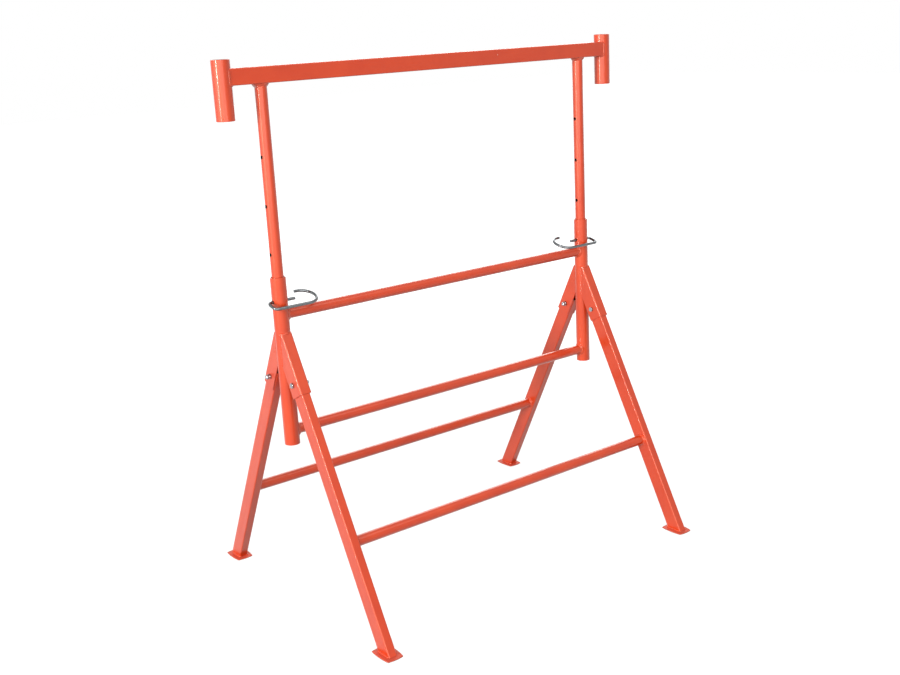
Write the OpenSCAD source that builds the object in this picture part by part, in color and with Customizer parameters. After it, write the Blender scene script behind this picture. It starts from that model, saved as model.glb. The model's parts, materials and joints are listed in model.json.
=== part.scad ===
// Height-adjustable folding trestle, in millimetres.
// +X runs along the beam, -Y is the front and +Z is up.
// The origin is on the ground, in the middle of the four feet.
// The pins are in the middle holes of the posts and the legs stand fully open.

/* [Posts and sleeves] */
// Distance between the axes of the two posts
post_spacing = 1040; // [800:20:1200]
// Outer diameter of a sleeve
sleeve_d = 40; // [38:0.5:44]
// Wall of a sleeve
sleeve_wall = 2.5; // [1.5:0.25:3]
// Length of a sleeve
sleeve_length = 440; // [420:5:480]
// Distance from the leg pivots down to the lower ends of the sleeves
sleeve_drop = 172; // [150:2:190]
// Outer diameter of a post
post_d = 30; // [27:0.5:31]
// Wall of a post
post_wall = 2.5; // [2:0.25:3]
// Length of post left below its lowest hole
post_tail = 16; // [12:1:30]

/* [Rails] */
// Outer diameter of the rails
rail_d = 28; // [22:0.5:32]
// Wall of the rails
rail_wall = 2; // [1.5:0.25:3]
// Distance from the top of a sleeve down to the upper rail's axis
upper_rail_drop = 97; // [90:1:104]
// Distance from the lower end of a sleeve up to the lower rail's axis
lower_rail_rise = 36; // [26:1:60]
// Height of the rails that join the legs above the ground
leg_rail_height = 251; // [150:5:400]

/* [Beam and sockets] */
// Height of the beam's top with the pins in the middle holes
beam_height = 1400; // [1330:10:1500]
// Side of the square beam
beam_side = 40; // [36:1:44]
// Wall of the beam
beam_wall = 2; // [1.5:0.25:3]
// Outer radius of the beam's long corners
beam_corner = 3; // [2:0.5:6]
// Distance from a post's axis out to its guard-rail socket's axis
socket_offset = 100; // [70:5:150]
// Outer diameter of a socket
socket_d = 45; // [45:0.5:50]
// Wall of a socket
socket_wall = 2.5; // [2:0.25:4]
// Length of a socket
socket_length = 142; // [100:2:180]
// Height of a socket's top above the beam
socket_rise = 21; // [10:1:40]

/* [Legs] */
// Width of a leg's rectangular tube, along the beam
leg_w = 24; // [20:1:28]
// Depth of a leg's tube, front to back
leg_d = 44; // [40:1:48]
// Wall of a leg's tube
leg_wall = 2; // [1.5:0.25:3]
// Outer radius of a leg's long corners
leg_corner = 3; // [2:0.5:5]
// Lean of the open legs from upright
leg_angle = 27.75; // [25:0.25:30]
// Height of the leg pivots above the ground
pivot_height = 620; // [590:5:650]
// Distance from a sleeve's axis to a leg pivot, front to back
pivot_offset = 57; // [54:1:62]
// How far the outer corner of a leg's top stands above its bolt, along the leg
leg_top_reach = 3; // [1:0.5:4]

/* [Feet] */
// Length of a foot plate between its corners, front to back
foot_length = 70; // [60:1:90]
// Width of a foot plate between its corners
foot_width = 45; // [38:1:60]
// How far the sides of a foot plate bow out between its corners
foot_bow = 3; // [1:0.5:5]
// Thickness of a foot plate at its middle
foot_thickness = 4; // [3.5:0.5:6]
// How much thinner a foot plate is at the middle of each end
foot_crown = 1.2; // [0.5:0.1:2]
// How far a foot plate's middle lies inward of the leg's axis on the ground
foot_inset = 3; // [0:0.5:8]

/* [Hinge brackets] */
// Sheet thickness of the folded channels
bracket_wall = 3; // [2:0.25:3.5]
// Inside radius of the channels' folds
bracket_fold = 1.5; // [0.5:0.25:2.5]
// Gap between a channel's side and its leg
bracket_side_gap = 0.8; // [0.4:0.1:1.2]
// Gap between an open leg and the channel's web, which stops it
bracket_stop_gap = 0.4; // [0.35:0.05:0.6]
// How far the channel's sides stop short of the leg's inner face
bracket_lip_back = 1; // [0:0.5:4]
// Length of channel below the bolt, along the leg
bracket_drop = 31.5; // [26:0.5:45]

/* [Hinge bolts] */
// Diameter of the hinge bolts
bolt_d = 8; // [6:0.5:9]
// Clearance on the diameter of the channels' bolt holes
bolt_fixed_play = 0.4; // [0.2:0.1:0.8]
// Clearance on the diameter of the legs' bolt holes
bolt_turning_play = 0.6; // [0.4:0.1:1]
// Width across flats of the bolt heads and nuts
bolt_flats = 13; // [12:0.5:15]
// Thickness of the bolt heads
bolt_head = 5.3; // [4:0.1:7]
// Height of the hexagonal part of a cap nut
nut_hex = 6.5; // [5:0.5:9]
// Height of the dome on a cap nut, with its neck
nut_dome = 8.5; // [8:0.5:11]
// Clearance on the diameter of the bolt in its nut
nut_play = 0.2; // [0.1:0.05:0.4]

/* [Locking pins] */
// Diameter of the pins' round wire
pin_d = 8; // [6:0.5:8.5]
// Clearance on the diameter of the pin holes
pin_play = 1.5; // [1:0.1:2]
// Gap between a seated pin and the edge of its hole
pin_seat_gap = 0.3; // [0.2:0.05:0.4]
// Distance from the top of a sleeve down to its pin
pin_drop = 62; // [52:1:64]
// Distance between the holes of a post
hole_pitch = 120; // [80:5:130]
// Number of holes above the pin, and below it
holes_each_way = 3; // [1:1:3]
// Distance from a sleeve's axis to the tip of its pin
pin_reach = 43.5; // [36:0.5:46]
// Gap between a sleeve and the first bend of its pin
pin_bend_gap = 1.5; // [1:0.5:4]
// Radius of the two bends at the pin's outer end, to the wire's middle
pin_bend_r = 12; // [10:0.5:14]
// Distance between the pin's shank and its return arm
pin_arm_offset = 36.5; // [33:0.5:42]
// Radius of the pin's curl, to the wire's middle
pin_curl_r = 34.5; // [31.5:0.5:36]
// Distance from a sleeve's axis to the centre of the curl
pin_curl_reach = 66; // [62:1:80]
// Angle through which the curl bends
pin_curl_sweep = 189; // [170:1:200]
// Tilt of the bent wire about the shank, front side down
pin_tilt = 17; // [5:1:20]
// Chamfer on the pin's two ends
pin_chamfer = 1; // [0.5:0.25:1.5]

/* [Welds] */
// Gap left between coped tubes for the weld
weld_gap = 0.1; // [0.05:0.05:0.2]
// Size of the bead where a rail meets a sleeve
saddle_bead = 4; // [2:0.5:5]
// Height of a fillet weld on the flat of a tube
fillet = 5; // [3:0.5:6]
// Length of the fillet down a post, under the beam
fillet_run = 9; // [6:0.5:12]
// Size of a small weld bead
bead = 2.5; // [1.5:0.25:3]

/* [Hidden] */
$fn = 96;
paint = "#e8583a";
zinc = "#a9adb0";
eps = 0.01;

left = -1;
right = 1;
front = -1;
rear = 1;

post_x = post_spacing / 2;
sleeve_r = sleeve_d / 2;
sleeve_bottom = pivot_height - sleeve_drop;
sleeve_top = sleeve_bottom + sleeve_length;
upper_rail_z = sleeve_top - upper_rail_drop;
lower_rail_z = sleeve_bottom + lower_rail_rise;

pin_z = sleeve_top - pin_drop;
pin_hole_d = pin_d + pin_play;
pin_rest = pin_play / 2 - pin_seat_gap;
beam_bottom = beam_height - beam_side;
post_bottom = pin_z - pin_rest - holes_each_way * hole_pitch - post_tail;
socket_x = post_x + socket_offset;
socket_bottom = beam_height + socket_rise - socket_length;

// In a leg's own frame +Z runs up the leg from its pivot and -Y points outward.
leg_out = leg_d / 2;
leg_top = pivot_height + leg_top_reach * cos(leg_angle) + leg_out * sin(leg_angle);
leg_below = pivot_height / cos(leg_angle) + leg_d;
leg_above = leg_d + leg_top_reach;
leg_rail_s = -(pivot_height - leg_rail_height) / cos(leg_angle);
foot_y = -(pivot_offset + pivot_height * tan(leg_angle)) + foot_inset;

// The channel's web meets the front of the sleeve at the channel's top.
bracket_w = leg_w + 2 * bracket_side_gap + 2 * bracket_wall;
web_in = leg_out + bracket_stop_gap;
web_out = web_in + bracket_wall;
lip_y = leg_out - bracket_lip_back;
bracket_s = (pivot_offset - sleeve_r + web_out * cos(leg_angle)) / sin(leg_angle);
bracket_top = pivot_height + bracket_s * cos(leg_angle) + web_out * sin(leg_angle);
bracket_reach = bracket_s + leg_d;

// Where a channel's side meets the round of the sleeve
seam_y = sqrt(pow(sleeve_r, 2) - pow(bracket_w / 2, 2));
seam_s = (pivot_offset - seam_y - lip_y * cos(leg_angle)) / sin(leg_angle);
seam_bottom = pivot_height + seam_s * cos(leg_angle) - lip_y * sin(leg_angle);

bolt_hole_d = bolt_d + bolt_fixed_play;
leg_hole_d = bolt_d + bolt_turning_play;

// ---- Shared shapes ----

module rounded_rect(w, d, r) {
    union() {
        square([w, d - 2 * r], center = true);
        square([w - 2 * r, d], center = true);
        for (x = [-1, 1], y = [-1, 1])
            translate([x * (w / 2 - r), y * (d / 2 - r)])
                circle(r = r);
    }
}

module box_tube(w, d, wall, corner, length) {
    linear_extrude(height = length)
        difference() {
            rounded_rect(w, d, corner);
            rounded_rect(w - 2 * wall, d - 2 * wall, max(corner - wall, wall / 4));
        }
}

module round_tube(d, wall, length) {
    linear_extrude(height = length)
        difference() {
            circle(d = d);
            circle(d = d - 2 * wall);
        }
}

// A cylinder along X, centred on the origin
module crossbar(d, length) {
    rotate([0, 90, 0])
        cylinder(d = d, h = length, center = true);
}

// Places a shape modelled for the front at the front or at the rear
module on_face(face) {
    if (face == front)
        children();
    else
        mirror([0, 1, 0])
            children();
}

// Places a shape modelled for the left at the left or at the right
module on_side(side) {
    if (side == left)
        children();
    else
        mirror([1, 0, 0])
            children();
}

// Moves from the frame of the front left leg to the trestle's frame
module on_leg() {
    translate([-post_x, -pivot_offset, pivot_height])
        rotate([-leg_angle, 0, 0])
            children();
}

// ---- Base: sleeves and rails ----

module sleeve() {
    color(paint)
        difference() {
            translate([-post_x, 0, sleeve_bottom])
                round_tube(sleeve_d, sleeve_wall, sleeve_length);
            translate([-post_x, 0, pin_z + pin_rest])
                crossbar(pin_hole_d, 2 * sleeve_d);
        }
}

// Both ends of a rail are coped to the sleeves' round.
module rail(z) {
    color(paint)
        difference() {
            translate([0, 0, z])
                crossbar(rail_d, post_spacing);
            translate([0, 0, z])
                crossbar(rail_d - 2 * rail_wall, post_spacing + 2);
            for (x = [-post_x, post_x])
                translate([x, 0, z - rail_d])
                    cylinder(r = sleeve_r + weld_gap, h = 2 * rail_d);
        }
}

// ---- Base: hinge brackets ----

// The channel's profile, open towards +Y
module channel_profile() {
    fold_out = bracket_fold + bracket_wall;
    open_y = lip_y + web_out;
    inner_w = bracket_w - 2 * bracket_wall;
    translate([0, -web_out])
        difference() {
            union() {
                translate([-bracket_w / 2, fold_out])
                    square([bracket_w, open_y - fold_out]);
                translate([-bracket_w / 2 + fold_out, 0])
                    square([bracket_w - 2 * fold_out, fold_out + eps]);
                for (x = [-1, 1])
                    translate([x * (bracket_w / 2 - fold_out), fold_out])
                        circle(r = fold_out);
            }
            translate([-inner_w / 2, fold_out])
                square([inner_w, open_y]);
            translate([-inner_w / 2 + bracket_fold, bracket_wall])
                square([inner_w - 2 * bracket_fold, open_y]);
            for (x = [-1, 1])
                translate([x * (inner_w / 2 - bracket_fold), fold_out])
                    circle(r = bracket_fold);
        }
}

// The channel is cut level at its top and coped around the sleeve.
module bracket_body() {
    difference() {
        intersection() {
            on_leg()
                translate([0, 0, -bracket_drop])
                    linear_extrude(height = bracket_drop + bracket_reach)
                        channel_profile();
            translate([-post_x - bracket_w, -4 * pivot_offset, 0])
                cube([2 * bracket_w, 4 * pivot_offset, bracket_top]);
        }
        translate([-post_x, 0, sleeve_bottom])
            cylinder(r = sleeve_r + weld_gap, h = sleeve_length);
    }
}

module bracket() {
    color(paint)
        difference() {
            bracket_body();
            on_leg()
                crossbar(bolt_hole_d, 2 * bracket_w);
        }
}

// ---- Base: hinge bolts and cap nuts ----

module hexagon_block(height) {
    intersection() {
        cylinder(d = bolt_flats / cos(30), h = height, $fn = 6);
        cylinder(d1 = 2 * bolt_flats, d2 = bolt_flats, h = height);
    }
}

// Towards -X from the bolt's head
module at_pivot(side, face, head_side) {
    translate([side * post_x, face * pivot_offset, pivot_height])
        rotate([0, 90 * head_side, 0])
            children();
}

module bolt(side, face, head_side) {
    color(zinc)
        at_pivot(side, face, head_side)
            union() {
                translate([0, 0, bracket_w / 2])
                    hexagon_block(bolt_head);
                translate([0, 0, -bracket_w / 2 - nut_hex])
                    cylinder(d = bolt_d, h = bracket_w + nut_hex + eps);
            }
}

// A hexagon with a short neck and a dome
module nut(side, face, head_side) {
    dome_d = bolt_flats - 1;
    neck = nut_dome - dome_d / 2;
    color(zinc)
        at_pivot(side, face, -head_side)
            translate([0, 0, bracket_w / 2])
                difference() {
                    union() {
                        hexagon_block(nut_hex);
                        cylinder(d = dome_d, h = nut_hex + neck);
                        translate([0, 0, nut_hex + neck])
                            sphere(d = dome_d);
                    }
                    translate([0, 0, -dome_d])
                        cylinder(d = bolt_d + nut_play, h = dome_d + nut_hex + nut_play);
                }
}

// ---- Base: welds ----

// Saddle-shaped beads where a rail meets its sleeves
module rail_beads(z) {
    for (side = [left, right])
        on_side(side)
            difference() {
                intersection() {
                    translate([-post_x, 0, z - rail_d])
                        cylinder(r = sleeve_r + saddle_bead, h = 2 * rail_d);
                    translate([-post_x, 0, z])
                        rotate([0, 90, 0])
                            cylinder(d = rail_d + 2 * saddle_bead, h = sleeve_d);
                }
                translate([-post_x, 0, z])
                    crossbar(rail_d + 2 * weld_gap, 4 * sleeve_d);
                translate([-post_x, 0, z - 2 * rail_d])
                    cylinder(r = sleeve_r + weld_gap, h = 4 * rail_d);
            }
}

// Beads up both sides of a bracket, where it meets its sleeve
module bracket_beads() {
    difference() {
        for (x = [-1, 1])
            translate([-post_x + x * bracket_w / 2, -seam_y, seam_bottom])
                cylinder(d = bead, h = bracket_top - seam_bottom);
        bracket_body();
        translate([-post_x, 0, sleeve_bottom])
            cylinder(r = sleeve_r, h = sleeve_length);
    }
}

module base_welds() {
    color(paint) {
        rail_beads(upper_rail_z);
        rail_beads(lower_rail_z);
        for (side = [left, right], face = [front, rear])
            on_side(side)
                on_face(face)
                    bracket_beads();
    }
}

// ---- Leg frames ----

// The leg's tube is cut level at both ends.
module leg() {
    color(paint)
        difference() {
            intersection() {
                on_leg()
                    translate([0, 0, -leg_below])
                        box_tube(leg_w, leg_d, leg_wall, leg_corner, leg_below + leg_above);
                translate([-post_x - leg_w, 2 * foot_y, foot_thickness])
                    cube([2 * leg_w, -2 * foot_y + leg_d, leg_top - foot_thickness]);
            }
            on_leg()
                crossbar(leg_hole_d, 2 * leg_w);
        }
}

module leg_rail() {
    color(paint)
        on_leg()
            translate([leg_w / 2, 0, leg_rail_s])
                rotate([0, 90, 0])
                    round_tube(rail_d, rail_wall, post_spacing - leg_w);
}

// A circle through the ends of a side of the plate, bowed out between them
module bowed_side(half_side, half_across) {
    r = (pow(half_side, 2) + pow(foot_bow, 2)) / (2 * foot_bow);
    translate([0, half_across + foot_bow - r])
        circle(r = r, $fn = 360);
}

module foot_outline() {
    intersection_for(turn = [0, 180])
        rotate(turn)
            intersection() {
                bowed_side(foot_width / 2, foot_length / 2);
                rotate(90)
                    bowed_side(foot_length / 2, foot_width / 2);
            }
}

// The plate's top is crowned along its length.
module foot() {
    crown_r = (pow(foot_length / 2, 2) + pow(foot_crown, 2)) / (2 * foot_crown);
    color(paint)
        translate([-post_x, foot_y, 0])
            intersection() {
                linear_extrude(height = foot_thickness)
                    foot_outline();
                translate([0, 0, foot_thickness - crown_r])
                    rotate([0, 90, 0])
                        cylinder(r = crown_r, h = 2 * foot_width, center = true, $fn = 720);
            }
}

// Fillets around the ends of a leg rail
module leg_rail_fillets() {
    for (side = [left, right])
        on_side(side)
            on_leg()
                translate([leg_w / 2, 0, leg_rail_s])
                    rotate([0, 90, 0])
                        difference() {
                            cylinder(d1 = rail_d + 2 * fillet, d2 = rail_d + eps, h = fillet);
                            translate([0, 0, -fillet])
                                cylinder(d = rail_d + 2 * weld_gap, h = 3 * fillet);
                        }
}

// A bead around the back and sides of a leg, on its foot plate
module foot_bead() {
    outer_w = leg_w + 2 * bead;
    outer_d = leg_d + 2 * bead;
    difference() {
        intersection() {
            on_leg()
                translate([0, 0, -leg_below])
                    linear_extrude(height = leg_below)
                        difference() {
                            rounded_rect(outer_w, outer_d, leg_corner + bead);
                            rounded_rect(leg_w + 2 * weld_gap, leg_d + 2 * weld_gap, leg_corner);
                            translate([0, -leg_out])
                                square([2 * outer_w, 4 * bead], center = true);
                        }
            translate([-post_x - leg_w, foot_y - foot_length, 0])
                cube([2 * leg_w, 2 * foot_length, foot_thickness + bead]);
        }
        foot();
    }
}

module leg_frame_welds() {
    color(paint) {
        leg_rail_fillets();
        for (side = [left, right])
            on_side(side)
                foot_bead();
    }
}

// ---- Head: posts, beam and sockets ----

// A ladder of holes lets the pin hold the post at equal steps.
module post() {
    color(paint)
        difference() {
            translate([-post_x, 0, post_bottom])
                round_tube(post_d, post_wall, beam_bottom - post_bottom);
            for (i = [-holes_each_way : holes_each_way])
                translate([-post_x, 0, pin_z - pin_rest + i * hole_pitch])
                    crossbar(pin_hole_d, 2 * post_d);
        }
}

module socket() {
    color(paint)
        translate([-socket_x, 0, socket_bottom])
            round_tube(socket_d, socket_wall, socket_length);
}

// Both ends of the beam are coped to the sockets' round.
module head_beam() {
    color(paint)
        difference() {
            translate([-socket_x, 0, beam_bottom + beam_side / 2])
                rotate([0, 90, 0])
                    box_tube(beam_side, beam_side, beam_wall, beam_corner, 2 * socket_x);
            for (x = [-socket_x, socket_x])
                translate([x, 0, beam_bottom - beam_side])
                    cylinder(r = socket_d / 2 + weld_gap, h = 3 * beam_side);
        }
}

// A flared fillet under the beam, around the top of a post
module post_fillet() {
    translate([-post_x, 0, beam_bottom - fillet_run])
        difference() {
            cylinder(d1 = post_d + eps, d2 = post_d + 2 * fillet, h = fillet_run);
            translate([0, 0, -fillet_run])
                cylinder(d = post_d + 2 * weld_gap, h = 3 * fillet_run);
        }
}

// A bead around the beam's end, against its socket. The top stays clear for boards.
module socket_bead() {
    intersection() {
        translate([-socket_x, -beam_side, socket_bottom])
            cube([socket_d, 2 * beam_side, beam_height - beam_corner - socket_bottom]);
        translate([-socket_x, 0, beam_bottom + beam_side / 2])
            rotate([0, 90, 0])
                difference() {
                    linear_extrude(height = socket_d)
                        rounded_rect(beam_side + 2 * bead, beam_side + 2 * bead, beam_corner + bead);
                    translate([0, 0, -beam_side])
                        linear_extrude(height = 3 * beam_side)
                            rounded_rect(beam_side + 2 * weld_gap, beam_side + 2 * weld_gap, beam_corner);
                }
        translate([-socket_x, 0, socket_bottom])
            round_tube(socket_d + 2 * bead, bead - weld_gap, socket_length);
    }
}

module head_welds() {
    color(paint)
        for (side = [left, right])
            on_side(side) {
                post_fillet();
                socket_bead();
            }
}

// ---- Locking pins ----

// A bend in the wire, from one angle through another about its centre
module wire_bend(centre, r, start, sweep) {
    translate([centre[0], centre[1], 0])
        rotate(start)
            rotate_extrude(angle = sweep)
                translate([r, 0])
                    circle(d = pin_d);
}

// A straight stretch of wire with a chamfered tip, along +X from a point
module wire_tip(start, length) {
    translate([start[0], start[1], 0])
        rotate([0, 90, 0])
            union() {
                cylinder(d = pin_d, h = length - pin_chamfer);
                translate([0, 0, length - pin_chamfer])
                    cylinder(d1 = pin_d, d2 = pin_d - 2 * pin_chamfer, h = pin_chamfer);
            }
}

// The wire runs from the shank's tip round the outer bends and along the arm to the curl.
module pin() {
    bend_x = -(sleeve_r + pin_bend_gap);
    arm_y = -pin_arm_offset;
    curl_centre = [pin_curl_reach, arm_y + pin_curl_r];
    color(zinc)
        translate([-post_x, 0, pin_z])
            rotate([pin_tilt, 0, 0])
                union() {
                    wire_tip([bend_x, 0], pin_reach - bend_x);
                    wire_bend([bend_x, -pin_bend_r], pin_bend_r, 90, 90);
                    translate([bend_x - pin_bend_r, -pin_bend_r, 0])
                        rotate([90, 0, 0])
                            cylinder(d = pin_d, h = pin_arm_offset - 2 * pin_bend_r);
                    wire_bend([bend_x, arm_y + pin_bend_r], pin_bend_r, 180, 90);
                    translate([bend_x, arm_y, 0])
                        rotate([0, 90, 0])
                            cylinder(d = pin_d, h = pin_curl_reach - bend_x);
                    wire_bend(curl_centre, pin_curl_r, -90, pin_curl_sweep);
                }
}

// ---- Nodes ----

module left_sleeve() on_side(left) sleeve();
module right_sleeve() on_side(right) sleeve();
module upper_rail() rail(upper_rail_z);
module lower_rail() rail(lower_rail_z);
module front_left_bracket() on_side(left) on_face(front) bracket();
module front_right_bracket() on_side(right) on_face(front) bracket();
module rear_left_bracket() on_side(left) on_face(rear) bracket();
module rear_right_bracket() on_side(right) on_face(rear) bracket();
module front_left_bolt() bolt(left, front, left);
module front_right_bolt() bolt(right, front, left);
module rear_left_bolt() bolt(left, rear, right);
module rear_right_bolt() bolt(right, rear, right);
module front_left_nut() nut(left, front, left);
module front_right_nut() nut(right, front, left);
module rear_left_nut() nut(left, rear, right);
module rear_right_nut() nut(right, rear, right);
module front_left_leg() on_side(left) on_face(front) leg();
module front_right_leg() on_side(right) on_face(front) leg();
module front_leg_rail() on_face(front) leg_rail();
module front_left_foot() on_side(left) on_face(front) foot();
module front_right_foot() on_side(right) on_face(front) foot();
module front_leg_welds() on_face(front) leg_frame_welds();
module rear_left_leg() on_side(left) on_face(rear) leg();
module rear_right_leg() on_side(right) on_face(rear) leg();
module rear_leg_rail() on_face(rear) leg_rail();
module rear_left_foot() on_side(left) on_face(rear) foot();
module rear_right_foot() on_side(right) on_face(rear) foot();
module rear_leg_welds() on_face(rear) leg_frame_welds();
module left_post() on_side(left) post();
module right_post() on_side(right) post();
module left_socket() on_side(left) socket();
module right_socket() on_side(right) socket();
module left_pin() on_side(left) pin();
module right_pin() on_side(right) pin();

left_sleeve();
right_sleeve();
upper_rail();
lower_rail();
front_left_bracket();
front_right_bracket();
rear_left_bracket();
rear_right_bracket();
front_left_bolt();
front_right_bolt();
rear_left_bolt();
rear_right_bolt();
front_left_nut();
front_right_nut();
rear_left_nut();
rear_right_nut();
base_welds();
front_left_leg();
front_right_leg();
front_leg_rail();
front_left_foot();
front_right_foot();
front_leg_welds();
rear_left_leg();
rear_right_leg();
rear_leg_rail();
rear_left_foot();
rear_right_foot();
rear_leg_welds();
head_beam();
left_post();
right_post();
left_socket();
right_socket();
head_welds();
left_pin();
right_pin();
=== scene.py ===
import json
import math
import random

import bmesh
import bpy
from mathutils import Matrix, Quaternion, Vector


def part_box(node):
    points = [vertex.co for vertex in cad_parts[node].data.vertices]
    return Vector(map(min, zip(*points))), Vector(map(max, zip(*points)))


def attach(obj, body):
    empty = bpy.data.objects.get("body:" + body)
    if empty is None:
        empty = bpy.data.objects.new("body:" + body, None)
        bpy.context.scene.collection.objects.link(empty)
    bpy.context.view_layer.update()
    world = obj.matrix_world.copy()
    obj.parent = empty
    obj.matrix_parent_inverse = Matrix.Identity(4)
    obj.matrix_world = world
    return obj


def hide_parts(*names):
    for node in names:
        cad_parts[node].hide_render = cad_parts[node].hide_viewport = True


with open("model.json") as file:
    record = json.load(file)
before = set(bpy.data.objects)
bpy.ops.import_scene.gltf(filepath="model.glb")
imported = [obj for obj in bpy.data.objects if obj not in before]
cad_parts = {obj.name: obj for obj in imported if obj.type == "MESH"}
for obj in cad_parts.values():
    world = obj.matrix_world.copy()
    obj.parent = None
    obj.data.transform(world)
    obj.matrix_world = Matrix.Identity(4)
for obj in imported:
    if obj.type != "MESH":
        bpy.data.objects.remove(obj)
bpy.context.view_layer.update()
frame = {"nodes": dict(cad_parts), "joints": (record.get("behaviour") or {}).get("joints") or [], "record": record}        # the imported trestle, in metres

nodes = frame["nodes"]
bodyOf = {
    name: body
    for body, members in frame["record"]["behaviour"]["bodies"].items()
    for name in members
}
scene = bpy.context.scene
scene.view_settings.view_transform = "Standard"
print("frame loaded:", len(nodes), "parts")


# camera, lamps and floor

view = {
    "place": (-1.902, -2.533, 1.482),
    "aim": (0.0068, 0.0, 0.623),
    "rollDeg": 2.94,        # clockwise
    "lensMm": 46.76,
}


def makeCamera():
    data = bpy.data.cameras.new("camera")
    data.lens = view["lensMm"]
    data.clip_start = 0.05
    data.clip_end = 60
    camera = bpy.data.objects.new("camera", data)
    scene.collection.objects.link(camera)
    place = Vector(view["place"])
    turn = (Vector(view["aim"]) - place).to_track_quat("-Z", "Y")
    turn = turn @ Quaternion((0, 0, 1), -math.radians(view["rollDeg"]))
    camera.matrix_world = Matrix.Translation(place) @ turn.to_matrix().to_4x4()
    scene.camera = camera


lamps = {
    # bearing is from +X, bearing and height in degrees, the rest in metres and watts
    "keyPanel": {"bearing": 190, "height": 9, "away": 9, "wide": 0.6, "tall": 2.5, "watts": 500},
    "sidePanel": {"bearing": 172, "height": 6, "away": 8, "wide": 7.0, "tall": 3.0, "watts": 116},
    "frontPanel": {"bearing": 238, "height": 15, "away": 6, "wide": 6.6, "tall": 4.4, "watts": 275},
    "topPanel": {"bearing": 285, "height": 52, "away": 5, "wide": 3.5, "tall": 2.5, "watts": 52},
    "edgePanel": {"bearing": 203, "height": 17, "away": 9, "wide": 0.5, "tall": 1.6, "watts": 110},
    "backPanel": {"bearing": 52, "height": 24, "away": 7, "wide": 6.0, "tall": 3.5, "watts": 230},
}


def makeLamps(middle=(0, 0, 0.7)):
    for name, lamp in lamps.items():
        data = bpy.data.lights.new(name, "AREA")
        data.shape = "RECTANGLE"
        data.size = lamp["wide"]
        data.size_y = lamp["tall"]
        data.energy = lamp["watts"]
        panel = bpy.data.objects.new(name, data)
        scene.collection.objects.link(panel)
        bearing, height = math.radians(lamp["bearing"]), math.radians(lamp["height"])
        outward = Vector((
            math.cos(bearing) * math.cos(height),
            math.sin(bearing) * math.cos(height),
            math.sin(height),
        ))
        place = Vector(middle) + outward * lamp["away"]
        facing = (-outward).to_track_quat("-Z", "Y").to_matrix().to_4x4()
        panel.matrix_world = Matrix.Translation(place) @ facing
        panel.visible_camera = False


# shader helpers

def toLinear(hexColour):
    # sRGB hex to linear RGBA
    values = [int(hexColour[i:i + 2], 16) / 255 for i in (1, 3, 5)]
    return [v / 12.92 if v <= 0.04045 else ((v + 0.055) / 1.055) ** 2.4 for v in values] + [1.0]


def addNode(tree, kind, settings=None, links=None):
    # settings are attributes or socket values, links are sockets, both by name or number
    node = tree.nodes.new(kind)
    for key, value in (settings or {}).items():
        if isinstance(key, int) or key in node.inputs:
            node.inputs[key].default_value = value
        else:
            setattr(node, key, value)
    for key, source in (links or {}).items():
        tree.links.new(source, node.inputs[key])
    return node


def newMaterial(name):
    material = bpy.data.materials.new(name)
    material.use_nodes = True
    material.node_tree.nodes.clear()
    return material, material.node_tree


room = {
    "soft": 0.34,               # light from all round on matt surfaces
    "floorColour": "#303030",   # what matt surfaces get back from the floor
    "floorShown": "#9C9C9C",    # what the lamps and shadows are seen on
    "floorGlow": 0.79,          # how much of the white room shows through it near the trestle
    "shadowReach": (1.2, 3.0),  # the floor turns plain white between these distances
}


def seenRays(tree):
    # 1 for what is seen directly, in a reflection or through glass, and 0 for light on matt surfaces
    rays = addNode(tree, "ShaderNodeLightPath")
    direct = addNode(tree, "ShaderNodeMath", {"operation": "MAXIMUM"}, {
        0: rays.outputs["Is Camera Ray"], 1: rays.outputs["Is Glossy Ray"],
    })
    return addNode(tree, "ShaderNodeMath", {"operation": "MAXIMUM"}, {
        0: direct.outputs[0], 1: rays.outputs["Is Transmission Ray"],
    }).outputs[0]


def whiteRoom():
    # seen directly or in a reflection the room is white, and matt surfaces get plain soft light
    world = bpy.data.worlds.new("room")
    scene.world = world
    world.use_nodes = True
    tree = world.node_tree
    tree.nodes.clear()
    seen = seenRays(tree)
    soft = addNode(tree, "ShaderNodeBackground", {
        "Color": toLinear("#FFFFFF"), "Strength": room["soft"],
    })
    white = addNode(tree, "ShaderNodeBackground", {"Color": toLinear("#FFFFFF"), "Strength": 1.0})
    mix = addNode(tree, "ShaderNodeMixShader", links={0: seen, 1: soft.outputs[0], 2: white.outputs[0]})
    addNode(tree, "ShaderNodeOutputWorld", links={"Surface": mix.outputs[0]})


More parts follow.
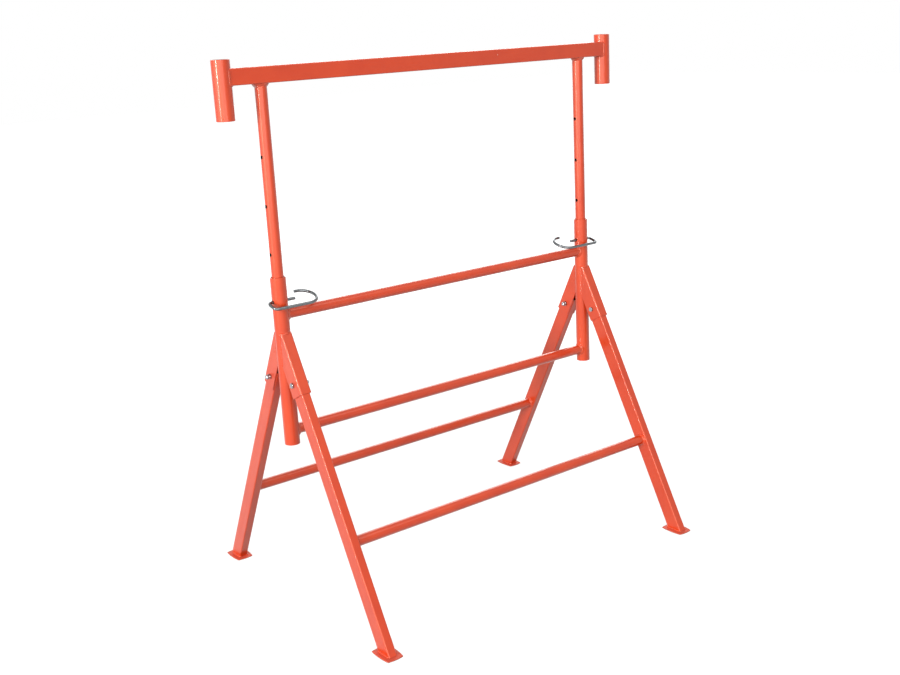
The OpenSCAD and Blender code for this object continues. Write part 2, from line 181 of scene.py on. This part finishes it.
def makeFloor(size=40.0):
    mesh = bpy.data.meshes.new("floor")
    bm = bmesh.new()
    bmesh.ops.create_grid(bm, x_segments=1, y_segments=1, size=size / 2)
    bm.to_mesh(mesh)
    bm.free()
    floor = bpy.data.objects.new("floor", mesh)
    scene.collection.objects.link(floor)
    material, tree = newMaterial("paleStudioFloor")
    seen = seenRays(tree)
    matt = addNode(tree, "ShaderNodeBsdfDiffuse", {"Color": toLinear(room["floorColour"])})
    place = addNode(tree, "ShaderNodeTexCoord").outputs["Object"]
    distance = addNode(tree, "ShaderNodeVectorMath", {"operation": "LENGTH"}, {0: place})
    paler = addNode(tree, "ShaderNodeMapRange", {
        "From Min": room["shadowReach"][0], "From Max": room["shadowReach"][1],
        "To Min": room["floorGlow"], "To Max": 1.0,
    }, {"Value": distance.outputs["Value"]})
    glow = addNode(tree, "ShaderNodeBsdfTransparent", links={"Color": paler.outputs[0]})
    shadowed = addNode(tree, "ShaderNodeBsdfDiffuse", {"Color": toLinear(room["floorShown"])})
    white = addNode(tree, "ShaderNodeAddShader", links={0: glow.outputs[0], 1: shadowed.outputs[0]})
    above = addNode(tree, "ShaderNodeMixShader", links={
        0: seen, 1: matt.outputs[0], 2: white.outputs[0],
    })
    # folded legs reach below the floor, so it is milky from above and clear from below
    below = addNode(tree, "ShaderNodeNewGeometry").outputs["Backfacing"]
    clear = addNode(tree, "ShaderNodeBsdfTransparent")
    mix = addNode(tree, "ShaderNodeMixShader", links={0: below, 1: above.outputs[0], 2: clear.outputs[0]})
    addNode(tree, "ShaderNodeOutputMaterial", links={"Surface": mix.outputs[0]})
    mesh.materials.append(material)


# finishes

enamel = {
    "deep": "#C2330F",      # where the coat is thickest
    "light": "#CD3D14",     # where it is thin
    "roughness": (0.34, 0.42),
    "specular": 0.52,
    "sheen": "#FFF5D6",     # reflections on it are a little warm
    "coat": 0.42,           # the clear resin that rises to the top
    "coatRoughness": 0.12,
    "toneMm": 90,           # size of the paler and deeper areas
    "peelMm": 5,            # orange peel is about 2 mm, drawn coarser so that it shows
    "peelDepthMm": 0.018,
    "lineMm": (9, 140),     # width and length of the faint lines that rolling leaves along a tube
    "lineDepthMm": 0.035,
    "chipEveryMm": 48,
    "chipMm": 1.3,
    "chipShare": 0.34,      # how many of the places where a chip could be have one
    # chips down to pale primer, which also stand in as painted glints
    "chipPaleAndGlint": "#E9C3AE",
    "chipDark": "#54241C",
    "darkShare": 0.4,       # how many of the chips go down to the dark primer
}


def turnedPlace(tree, turn, sizeMm):
    # object coordinates along a tube, in features of that width and length
    place = addNode(tree, "ShaderNodeTexCoord").outputs["Object"]
    return addNode(tree, "ShaderNodeMapping", {
        "vector_type": "TEXTURE",
        "Rotation": turn,
        "Scale": (sizeMm[0] / 1000, sizeMm[0] / 1000, sizeMm[1] / 1000),
    }, {"Vector": place}).outputs[0]


def coatColour(tree, place):
    # deeper and paler areas where the spray overlapped, and a few small chips; the pale chips also stand
    # in as painted glints
    tone = addNode(tree, "ShaderNodeTexNoise", {
        "Scale": 1000 / enamel["toneMm"], "Detail": 3.0, "Roughness": 0.55,
    }, {"Vector": place})
    spread = addNode(tree, "ShaderNodeMapRange", {"From Min": 0.3, "From Max": 0.7}, {
        "Value": tone.outputs[0],
    })
    coat = addNode(tree, "ShaderNodeMix", {
        "data_type": "RGBA", 6: toLinear(enamel["deep"]), 7: toLinear(enamel["light"]),
    }, {0: spread.outputs[0]})
    ragged = addNode(tree, "ShaderNodeTexNoise", {"Scale": 900.0, "Detail": 1.0}, {"Vector": place})
    spots = addNode(tree, "ShaderNodeTexVoronoi", {"Scale": 1000 / enamel["chipEveryMm"]}, {
        "Vector": place,
    })
    reach = addNode(tree, "ShaderNodeMath", {
        "operation": "MULTIPLY", 1: 2 * enamel["chipMm"] / enamel["chipEveryMm"],
    }, {0: ragged.outputs[0]})
    near = addNode(tree, "ShaderNodeMath", {"operation": "LESS_THAN"}, {
        0: spots.outputs["Distance"], 1: reach.outputs[0],
    })
    apart = addNode(tree, "ShaderNodeSeparateColor", links={"Color": spots.outputs["Color"]})
    picked = addNode(tree, "ShaderNodeMath", {"operation": "LESS_THAN", 1: enamel["chipShare"]}, {
        0: apart.outputs[0],
    })
    chipped = addNode(tree, "ShaderNodeMath", {"operation": "MULTIPLY"}, {
        0: near.outputs[0], 1: picked.outputs[0],
    })
    deep = addNode(tree, "ShaderNodeMath", {"operation": "LESS_THAN", 1: enamel["darkShare"]}, {
        0: apart.outputs[1],
    })
    # pale chips double as painted glints, dark ones go down to the primer
    under = addNode(tree, "ShaderNodeMix", {
        "data_type": "RGBA", 6: toLinear(enamel["chipPaleAndGlint"]), 7: toLinear(enamel["chipDark"]),
    }, {0: deep.outputs[0]})
    return addNode(tree, "ShaderNodeMix", {"data_type": "RGBA"}, {
        0: chipped.outputs[0], 6: coat.outputs[2], 7: under.outputs[2],
    }).outputs[2]


def sprayedEnamel(name, turn=(0, 0, 0), lineDepthMm=enamel["lineDepthMm"], roughness=enamel["roughness"]):
    # alkyd enamel sprayed on steel tube: even orange-red and glossy, with orange peel and faint lines
    material, tree = newMaterial(name)
    place = addNode(tree, "ShaderNodeTexCoord").outputs["Object"]
    lines = addNode(tree, "ShaderNodeTexNoise", {"Scale": 1.0, "Detail": 2.0}, {
        "Vector": turnedPlace(tree, turn, enamel["lineMm"]),
    })
    peel = addNode(tree, "ShaderNodeTexNoise", {
        "Scale": 1000 / enamel["peelMm"], "Detail": 2.0, "Roughness": 0.4,
    }, {"Vector": place})
    rolled = addNode(tree, "ShaderNodeBump", {"Distance": lineDepthMm / 1000}, {
        "Height": lines.outputs[0],
    })
    bumped = addNode(tree, "ShaderNodeBump", {"Distance": enamel["peelDepthMm"] / 1000}, {
        "Height": peel.outputs[0], "Normal": rolled.outputs[0],
    })
    gloss = addNode(tree, "ShaderNodeMapRange", {
        "From Min": 0.35, "From Max": 0.65,
        "To Min": roughness[0], "To Max": roughness[1],
    }, {"Value": lines.outputs[0]})
    surface = addNode(tree, "ShaderNodeBsdfPrincipled", {
        "IOR": 1.5, "Specular IOR Level": enamel["specular"], "Specular Tint": toLinear(enamel["sheen"]),
        "Coat Weight": enamel["coat"], "Coat Roughness": enamel["coatRoughness"],
    }, {
        "Base Color": coatColour(tree, place), "Roughness": gloss.outputs[0], "Normal": bumped.outputs[0],
    })
    addNode(tree, "ShaderNodeOutputMaterial", links={"Surface": surface.outputs[0]})
    return material


scuffs = {
    "rubbed": 0.75,         # how bare the plates' lower edge is rubbed
    "rubbedMm": (3.5, 0.5),  # from clean paint to the most rubbed, in height above the ground
    "steel": "#7A6A60",
    "dustAndPaintedLight": "#F0D8CC",
    "dustAndPaintedLightShare": 0.065,     # how much of the colour is hidden by the pale film, dust that is also painted light
    "gritPerMetre": 260,
    "gritDepthMm": 0.06,
    "roughness": (0.5, 0.68),
    "specular": 0.25,
}


def scuffedEnamel(name):
    # the same enamel on plate that stands on the ground: paler under dust that is also painted light,
    # dulled by grit, rubbed to steel low down
    material, tree = newMaterial(name)
    place = addNode(tree, "ShaderNodeTexCoord").outputs["Object"]
    height = addNode(tree, "ShaderNodeSeparateXYZ", links={"Vector": place}).outputs["Z"]
    low = addNode(tree, "ShaderNodeMapRange", {
        "From Min": scuffs["rubbedMm"][0] / 1000, "From Max": scuffs["rubbedMm"][1] / 1000,
        "To Min": 0.0, "To Max": scuffs["rubbed"],
    }, {"Value": height})
    grit = addNode(tree, "ShaderNodeTexNoise", {
        "Scale": scuffs["gritPerMetre"], "Detail": 4.0, "Roughness": 0.65,
    }, {"Vector": place})
    rubbed = addNode(tree, "ShaderNodeMath", {"operation": "MULTIPLY"}, {
        0: low.outputs[0], 1: grit.outputs[0],
    })
    bare = addNode(tree, "ShaderNodeMapRange", {"From Min": 0.26, "From Max": 0.34}, {
        "Value": rubbed.outputs[0],
    })
    # a pale film over all of the plate: dust, and painted light that makes the plates read brighter
    dustAndPaintedLightFilm = addNode(tree, "ShaderNodeMix", {
        "data_type": "RGBA", 0: scuffs["dustAndPaintedLightShare"], 7: toLinear(scuffs["dustAndPaintedLight"]),
    }, {6: coatColour(tree, place)})
    colour = addNode(tree, "ShaderNodeMix", {"data_type": "RGBA", 7: toLinear(scuffs["steel"])}, {
        0: bare.outputs[0], 6: dustAndPaintedLightFilm.outputs[2],
    })
    bumped = addNode(tree, "ShaderNodeBump", {"Distance": scuffs["gritDepthMm"] / 1000}, {
        "Height": grit.outputs[0],
    })
    gloss = addNode(tree, "ShaderNodeMapRange", {
        "To Min": scuffs["roughness"][0], "To Max": scuffs["roughness"][1],
    }, {"Value": grit.outputs[0]})
    surface = addNode(tree, "ShaderNodeBsdfPrincipled", {
        "IOR": 1.5, "Specular IOR Level": scuffs["specular"], "Specular Tint": toLinear(enamel["sheen"]),
    }, {"Base Color": colour.outputs[2], "Roughness": gloss.outputs[0], "Normal": bumped.outputs[0]})
    addNode(tree, "ShaderNodeOutputMaterial", links={"Surface": surface.outputs[0]})
    return material


def boreSteelAndShade():
    # the inside of welded steel tube: dark mill scale, no paint, made darker still as painted shade. The
    # walls of drilled holes get it too, as painted shade where the real steel is painted
    material, tree = newMaterial("boreMillScaleAndShade")
    place = addNode(tree, "ShaderNodeTexCoord").outputs["Object"]
    scale = addNode(tree, "ShaderNodeTexNoise", {"Scale": 120.0, "Detail": 4.0}, {"Vector": place})
    # near-black mill scale, partly painted shade
    blend = addNode(tree, "ShaderNodeMix", {
        "data_type": "RGBA", 6: toLinear("#16110F"), 7: toLinear("#2E241F"),
    }, {0: scale.outputs[0]})
    surface = addNode(tree, "ShaderNodeBsdfPrincipled", {
        "Roughness": 0.6, "Metallic": 0.3,
    }, {"Base Color": blend.outputs[2]})
    addNode(tree, "ShaderNodeOutputMaterial", links={"Surface": surface.outputs[0]})
    return material


def zincPlate(name, colours, roughness, streakMm):
    # bright zinc plate on drawn or forged steel: cool grey, softly clouded, with fine streaks
    material, tree = newMaterial(name)
    place = addNode(tree, "ShaderNodeTexCoord").outputs["Object"]
    clouds = addNode(tree, "ShaderNodeTexNoise", {
        "Scale": 90.0, "Detail": 4.0, "Roughness": 0.6,
    }, {"Vector": place})
    blend = addNode(tree, "ShaderNodeMix", {
        "data_type": "RGBA", 6: toLinear(colours[0]), 7: toLinear(colours[1]),
    }, {0: clouds.outputs[0]})
    streaks = addNode(tree, "ShaderNodeTexNoise", {"Scale": 1.0, "Detail": 2.0}, {
        "Vector": turnedPlace(tree, (0, math.radians(90), 0), streakMm),
    })
    bumped = addNode(tree, "ShaderNodeBump", {"Distance": 0.000008}, {"Height": streaks.outputs[0]})
    gloss = addNode(tree, "ShaderNodeMapRange", {
        "From Min": 0.3, "From Max": 0.7, "To Min": roughness[0], "To Max": roughness[1],
    }, {"Value": streaks.outputs[0]})
    surface = addNode(tree, "ShaderNodeBsdfPrincipled", {"Metallic": 1.0}, {
        "Base Color": blend.outputs[2], "Roughness": gloss.outputs[0], "Normal": bumped.outputs[0],
    })
    addNode(tree, "ShaderNodeOutputMaterial", links={"Surface": surface.outputs[0]})
    return material


# pieces

trestle = {
    # metres, as in the CAD parts
    "lean": math.radians(27.75),    # of the open legs, from upright
    "legWide": 0.024,
    "legDeep": 0.044,
    "legCorner": 0.003,
    "channelWide": 0.0316,
    "seamBottom": 0.6599,           # where a channel's seams on the sleeve end
    "beamSide": 0.040,
    "beamCorner": 0.003,
}


def postLine(name):
    # an upright tube's distance from the middle, and its radius
    low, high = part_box(name)
    return -(low.x + high.x) / 2, (high.x - low.x) / 2


postX, sleeveR = postLine("left_sleeve")
pivot = Vector(frame["joints"][0]["pos_m"])


def addPiece(bm, name, replaced, materials):
    mesh = bpy.data.meshes.new(name)
    bm.to_mesh(mesh)
    bm.free()
    if "custom_normal" in mesh.attributes:
        mesh.attributes.remove(mesh.attributes["custom_normal"])
    for material in materials:
        mesh.materials.append(material)
    piece = bpy.data.objects.new(name, mesh)
    scene.collection.objects.link(piece)
    piece.modifiers.new("evenShading", "WEIGHTED_NORMAL").keep_sharp = True
    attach(piece, bodyOf[replaced])
    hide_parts(replaced)
    return piece


def shadeSmooth(bm, creaseDeg=60):
    for face in bm.faces:
        face.smooth = True
    for edge in bm.edges:
        edge.smooth = not edge.is_manifold or edge.calc_face_angle() < math.radians(creaseDeg)


rounding = {
    # kind of part: (the piece's last word, slot, rounding of its cut edges in mm)
    "sleeve": ("tube", "enamel", 0.5),
    "post": ("tube", "enamel", 0.4),
    "socket": ("tube", "enamel", 0.6),
    "bracket": ("channel", "enamel", 0.5),
    "leg": ("tube", "enamel", 0.4),
    "foot": ("plate", "enamel", 0.8),
    "bolt": ("screw", "bolt_zinc", 0.3),
    "nut": ("cap", "bolt_zinc", 0.3),
}


# finds the faces that get the dark bore finish: bare steel inside, painted shade on the hole walls
boreAndShadeMask = {
    "facing": 0.7,          # how squarely a bore's face looks at the axis
    "holeWall": 0.3,        # the walls of a hole along X look no more along X than this
    "onAxis": 1e-5,
    "skin": 0.0004,         # a face this near the full radius is the tube's outside
    "cutEnd": 0.002,        # a face this near the tube's end is its cut end
}


def boreAndShadedHoleFaces(bm, name, kind):
    # the faces that look towards the tube's own axis, and the walls of the holes drilled across it, which
    # get the dark bore finish as painted shade
    low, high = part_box(name)
    middle = (low + high) / 2
    along = Vector((0, 0, 1))
    if kind == "leg":
        lean = math.copysign(trestle["lean"], middle.y)
        along = Vector((0, -math.sin(lean), math.cos(lean)))
    found = []
    for face in bm.faces:
        centre = face.calc_center_median()
        spoke = centre - middle
        spoke -= along * spoke.dot(along)
        inward = spoke.length > boreAndShadeMask["onAxis"] and spoke.normalized().dot(face.normal) < -boreAndShadeMask["facing"]
        # hole walls: painted shade, dark though the real walls are painted
        shadedHoleWall = (
            kind in ("sleeve", "post")
            and abs(face.normal.x) < boreAndShadeMask["holeWall"]
            and boreAndShadeMask["onAxis"] < spoke.length < (high.x - low.x) / 2 - boreAndShadeMask["skin"]
            and min(centre.z - low.z, high.z - centre.z) > boreAndShadeMask["cutEnd"]
        )
        if inward or shadedHoleWall:
            found.append(face)
    return found


cleaning = {
    "mergeWithin": 1e-6,    # metres
    "flatDeg": 1,           # neighbouring faces that turn less than this become one
    "crispDeg": 38,         # edges sharper than this are rounded
}


def roundedCopy(name, kind, materials):
    # a merged copy of a part, with its cut edges taken off as grinding and paint leave them
    word, slot, radius = rounding[kind]
    bm = bmesh.new()
    bm.from_mesh(nodes[name].data)
    bmesh.ops.remove_doubles(bm, verts=bm.verts, dist=cleaning["mergeWithin"])
    flat = math.radians(cleaning["flatDeg"])
    bmesh.ops.dissolve_limit(bm, angle_limit=flat, verts=bm.verts, edges=bm.edges)
    if len(materials) > 1:
        # the bore faces get the dark finish, partly painted shade
        for face in boreAndShadedHoleFaces(bm, name, kind):
            face.material_index = 1
    sharp = math.radians(cleaning["crispDeg"])
    crisp = [e for e in bm.edges if e.is_manifold and e.calc_face_angle() > sharp]
    bmesh.ops.bevel(
        bm, geom=crisp, offset=radius / 1000, offset_type="OFFSET", segments=2,
        profile=0.5, affect="EDGES", clamp_overlap=True, material=-1,
    )
    shadeSmooth(bm)
    return addPiece(bm, name + "_" + word, name, materials)


# welds

weld = {
    "pitchMm": 2.4,         # from one ripple to the next
    "rippleMm": 0.28,
    "drift": 0.35,          # how unevenly they follow one another, in pitches
    "bow": 0.7,             # how far a ripple's middle runs behind its ends, in pitches
    "stepMm": 0.5,
    "sunkMm": 0.25,         # how deep the toes run into the steel
    "taperMm": 2.5,         # rounded ends of an open bead
    "uneven": 0.12,         # how much a bead swells and shrinks along its run
    "swells": (2, 5, 9),    # how many times it does so, in three waves
    "driftEvery": 4.3,      # ripples
    "thinnest": 0.15,       # the very end of an open bead, as a share of its size
    "crownPoints": 7,
    "roundMm": 6300,        # length of a bead round a tube of 1 m radius, with a little overlap
    "footMm": 110,
    "footRuns": ((0.0, 0.45), (0.585, 1.0)),    # the welder left a stretch open on the outer face
    "beamEndMm": 107,
    "flareMm": ((6.5, 3.2), (2.5, 4.3)),        # round a post's top: the least width, and what is added
}


def flare(u):
    # long along the beam, short where the beam's side is near
    least, more = weld["flareMm"]
    along = abs(math.cos(2 * math.pi * u))
    return least[0] + more[0] * along, least[1] + more[1] * along ** 2


beads = {
    # where: (width on the two surfaces, height of the crown), in mm
    "railOnSleeve": ((4.4, 4.8), 0.3),
    "channelSide": ((2.6, 2.8), 0.9),
    "channelTop": ((2.6, 3.0), 0.5),
    "beamEnd": ((2.8, 2.6), 0.9),
    "postTop": (flare, 0.2),
    "railOnLeg": ((4.6, 4.4), 0.3),
    "foot": ((3.0, 2.8), 0.8),
}
spatter = {
    # metres
    "drops": 7,
    "radius": (0.0006, 0.0015),
    "out": (0.004, 0.012),      # from the seam
    "height": (0.675, 0.735),
}


def layBead(run, path, lengthMm, bead, seed, closed=False):
    # a rippled fillet along path(0..1), which gives a point of the corner and the two surfaces' normals
    legsMm, crownMm = bead
    steps = round(lengthMm / weld["stepMm"])
    ripples = round(lengthMm / weld["pitchMm"])
    around = weld["crownPoints"] + 1
    sunk = weld["sunkMm"] / 1000
    draw = random.Random(seed)
    phases = [draw.random() * 2 * math.pi for _ in weld["swells"]]
    bm = bmesh.new()
    bmesh.ops.create_grid(bm, x_segments=steps, y_segments=around, size=0.5)
    for vert in bm.verts:
        u, v = vert.co.x + 0.5, round((vert.co.y + 0.5) * around)
        corner, normalA, normalB = path(u)
        tangent = normalA.cross(normalB).normalized()
        alongA, alongB = tangent.cross(normalA), normalB.cross(tangent)
        if alongA.dot(normalB) < 0:
            alongA, alongB = -alongA, -alongB
        outward = (normalA + normalB).normalized()
        swell = 1 + weld["uneven"] / len(phases) * sum(
            math.sin(2 * math.pi * turns * u + phase) for turns, phase in zip(weld["swells"], phases)
        )
        if not closed:
            toEnd = min(1.0, min(u, 1 - u) * lengthMm / weld["taperMm"])
            swell *= max(weld["thinnest"], math.sqrt(1 - (1 - toEnd) ** 2))
        if v in (0, around):
            vert.co = corner - outward * sunk
            continue
        t = (v - 1) / (weld["crownPoints"] - 1)
        legA, legB = legsMm(u) if callable(legsMm) else legsMm
        toeA = corner + alongA * legA * swell / 1000 - normalA * sunk
        toeB = corner + alongB * legB * swell / 1000 - normalB * sunk
        drift = weld["drift"] * math.sin(2 * math.pi * ripples / weld["driftEvery"] * u + phases[1])
        ripple = abs(math.sin(math.pi * (ripples * u + drift + weld["bow"] * (2 * t - 1) ** 2)))
        height = (crownMm + weld["rippleMm"] * ripple) * swell * math.sin(math.pi * t)
        vert.co = toeA.lerp(toeB, t) + outward * height / 1000
    bmesh.ops.remove_doubles(bm, verts=bm.verts, dist=1e-7)
    bmesh.ops.holes_fill(bm, edges=[e for e in bm.edges if e.is_boundary], sides=0)
    bmesh.ops.recalc_face_normals(bm, faces=bm.faces)
    shadeSmooth(bm, creaseDeg=40)
    mesh = bpy.data.meshes.new("bead")
    bm.to_mesh(mesh)
    bm.free()
    run.from_mesh(mesh)
    bpy.data.meshes.remove(mesh)


def mirrored(path, side, face):
    # a path laid out for the front left corner, carried to another one
    flip = Matrix.Diagonal((-side, -face, 1))
    return lambda u: tuple(flip @ part for part in path(u))


def roundJoint(centre, axis, across, radius, onto):
    # round a tube of that radius, where it meets the surface that onto(point) finds
    def path(u):
        spoke = Quaternion(axis, 2 * math.pi * u) @ across
        point, normal = onto(centre + spoke * radius)
        return point, spoke, normal
    return path


def ontoSleeve(point):
    reach = math.sqrt(sleeveR ** 2 - point.y ** 2)
    return Vector((-postX + reach, point.y, point.z)), Vector((reach, point.y, 0)).normalized()


def roundBox(u, halfWide, deep, corner):
    # along three sides of a rounded box: place across it, place down it, and the outward direction
    straight, bend = deep - corner, corner * math.pi / 2
    total = 2 * (straight + bend + halfWide - corner)
    s, hand = u * total, -1
    if u > 0.5:
        s, hand = total - s, 1
    if s < straight:
        return hand * halfWide, s, hand, 0
    if s < straight + bend:
        angle = (s - straight) / corner
        across = halfWide - corner * (1 - math.cos(angle))
        return hand * across, straight + corner * math.sin(angle), hand * math.cos(angle), math.sin(angle)
    return hand * (halfWide - corner - (s - straight - bend)), deep, 0, 1


def specks(run, seed, place):
    # spatter that the paint covered: place(draw) gives a point on the steel
    draw = random.Random(seed)
    for _ in range(spatter["drops"]):
        radius = draw.uniform(*spatter["radius"])
        drops = bmesh.ops.create_icosphere(
            run, subdivisions=2, radius=radius, matrix=Matrix.Translation(place(draw)),
        )
        for vert in drops["verts"]:
            for face in vert.link_faces:
                face.smooth = True


def baseWelds(run):
    for k, rail in enumerate(("upper_rail", "lower_rail")):
        low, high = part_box(rail)
        radius = (high.z - low.z) / 2
        centre = Vector((-postX, 0, (low.z + high.z) / 2))
        path = roundJoint(centre, Vector((1, 0, 0)), Vector((0, 0, 1)), radius, ontoSleeve)
        for side in (-1, 1):
            layBead(
                run, mirrored(path, side, -1), weld["roundMm"] * radius, beads["railOnSleeve"],
                10 * k + side, closed=True,
            )
    half, top = trestle["channelWide"] / 2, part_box("front_left_bracket")[1].z
    back = math.sqrt(sleeveR ** 2 - half ** 2)
    reach = math.asin(half / sleeveR)
    cutEnd = Vector((0, -0.55, 0.83))       # about the way that a channel's cut end looks
    corners = [(side, face) for side in (-1, 1) for face in (-1, 1)]
    for number, (side, face) in enumerate(corners):
        for flange in (-1, 1):
            def seam(u, flange=flange):
                height = top - u * (top - trestle["seamBottom"])
                normal = Vector((flange * half, -back, 0))
                return normal + Vector((-postX, 0, height)), Vector((flange, 0, 0)), normal.normalized()
            length = 1000 * (top - trestle["seamBottom"])
            seed = 40 + 2 * number + flange
            layBead(run, mirrored(seam, side, face), length, beads["channelSide"], seed)

        def overTop(u):
            spoke = Quaternion((0, 0, 1), (2 * u - 1) * reach) @ Vector((0, -1, 0))
            return Vector((-postX, 0, top)) + spoke * sleeveR, cutEnd, spoke
        length = 2000 * sleeveR * reach
        layBead(run, mirrored(overTop, side, face), length, beads["channelTop"], 60 + number)

        def besideSeam(draw):
            flip = Matrix.Diagonal((-side, -face, 1))
            return flip @ Vector((
                -postX + draw.choice((-1, 1)) * half,
                -back - draw.uniform(*spatter["out"]),
                draw.uniform(*spatter["height"]),
            ))
        specks(run, 80 + number, besideSeam)


def headWelds(run):
    low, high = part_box("head_beam")
    postR = postLine("left_post")[1]
    socketX, socketR = postLine("left_socket")
    flat = Vector((0, 0, -1))
    underBeam = roundJoint(
        Vector((-postX, 0, low.z)), Vector((0, 0, 1)), Vector((1, 0, 0)), postR,
        lambda point: (point, flat),
    )
    corner = trestle["beamCorner"]
    start = corner + 0.001      # the bead starts and ends this far below the beam's top

    def roundEnd(u):
        across, down, nAcross, nDown = roundBox(
            u, trestle["beamSide"] / 2, trestle["beamSide"] - start, corner,
        )
        reach = math.sqrt(socketR ** 2 - across ** 2)
        point = Vector((-socketX + reach, across, high.z - start - down))
        return point, Vector((0, nAcross, -nDown)), Vector((reach, across, 0)).normalized()
    for side in (-1, 1):
        length = weld["roundMm"] * postR
        layBead(run, mirrored(underBeam, side, -1), length, beads["postTop"], 100 + side, closed=True)
        layBead(run, mirrored(roundEnd, side, -1), weld["beamEndMm"], beads["beamEnd"], 110 + side)


def legWelds(run, face):
    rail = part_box("front_leg_rail")
    middle = (rail[0] + rail[1]) / 2
    radius = (rail[1].z - rail[0].z) / 2
    inner = Vector((1, 0, 0))
    lean, soleTop = trestle["lean"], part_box("front_left_foot")[1].z
    railEnd = roundJoint(
        Vector((rail[0].x, middle.y, middle.z)), inner, Vector((0, 0, 1)), radius,
        lambda point: (point, inner),
    )
    corner = trestle["legCorner"]

    def roundFoot(u):
        # the leg leans, so its section on the plate is longer than its depth
        across, down, nAcross, nDown = roundBox(
            u, trestle["legWide"] / 2, trestle["legDeep"] - corner, corner,
        )
        deep = down - trestle["legDeep"] / 2 + corner
        point = Vector((
            -postX + across,
            pivot.y - (pivot.z - soleTop) * math.tan(lean) + deep / math.cos(lean),
            soleTop,
        ))
        normal = Vector((nAcross, nDown * math.cos(lean), -nDown * math.sin(lean)))
        return point, normal, Vector((0, 0, 1))
    for side in (-1, 1):
        layBead(
            run, mirrored(railEnd, side, face), weld["roundMm"] * radius, beads["railOnLeg"],
            130 + 3 * face + side, closed=True,
        )
        for start, stop in weld["footRuns"]:
            def stretch(u, start=start, stop=stop):
                return roundFoot(start + u * (stop - start))
            seed = round(150 + 3 * face + side + 9 * start)
            length = weld["footMm"] * (stop - start)
            layBead(run, mirrored(stretch, side, face), length, beads["foot"], seed)


def addWelds(name, lay):
    run = bmesh.new()
    lay(run)
    return addPiece(run, name.replace("welds", "weld_beads"), name, [beadPaint])


makeCamera()
makeLamps()
whiteRoom()
makeFloor()
print("camera, lamps and floor set")

lean = trestle["lean"]
uprightPaint = sprayedEnamel("enamelOnUprights")
crossPaint = sprayedEnamel("enamelOnRails", turn=(0, math.radians(90), 0))
legPaint = {
    "front": sprayedEnamel("enamelOnFrontLegs", turn=(-lean, 0, 0)),
    "rear": sprayedEnamel("enamelOnRearLegs", turn=(lean, 0, 0)),
}
beadPaint = sprayedEnamel("enamelOnWelds", lineDepthMm=0, roughness=(0.16, 0.24))
footPaint = scuffedEnamel("scuffedEnamelOnFeet")
# dark inside of the tubes and their holes, partly painted shade
boreAndShade = boreSteelAndShade()
wireZinc = zincPlate(
    "zincPlatedWire", colours=("#55585A", "#7C7F81"), roughness=(0.16, 0.26), streakMm=(1.5, 25),
)
boltZinc = zincPlate(
    "zincPlatedBolt", colours=("#7E8489", "#B4B9BD"), roughness=(0.12, 0.22), streakMm=(2, 6),
)
finishes = {
    "sleeve": [uprightPaint, boreAndShade],
    "post": [uprightPaint, boreAndShade],
    "socket": [uprightPaint, boreAndShade],
    "rail": [crossPaint],
    "beam": [crossPaint],
    "foot": [footPaint],
    "welds": [beadPaint],
    "pin": [wireZinc],
    "bolt": [boltZinc],
    "nut": [boltZinc],
}
for name, node in nodes.items():
    end, kind = name.split("_")[0], name.split("_")[-1]
    if kind == "leg":
        slots = [legPaint[end], boreAndShade]
    elif kind == "bracket":
        slots = [legPaint[end]]
    else:
        slots = finishes[kind]
    node.data.materials.clear()
    node.data.materials.append(slots[0])
    if kind in rounding:
        roundedCopy(name, kind, slots)
print("tubes, channels, plates and bolts finished")

addWelds("base_welds", baseWelds)
addWelds("head_welds", headWelds)
addWelds("front_leg_welds", lambda run: legWelds(run, -1))
addWelds("rear_leg_welds", lambda run: legWelds(run, 1))
print("welds laid")
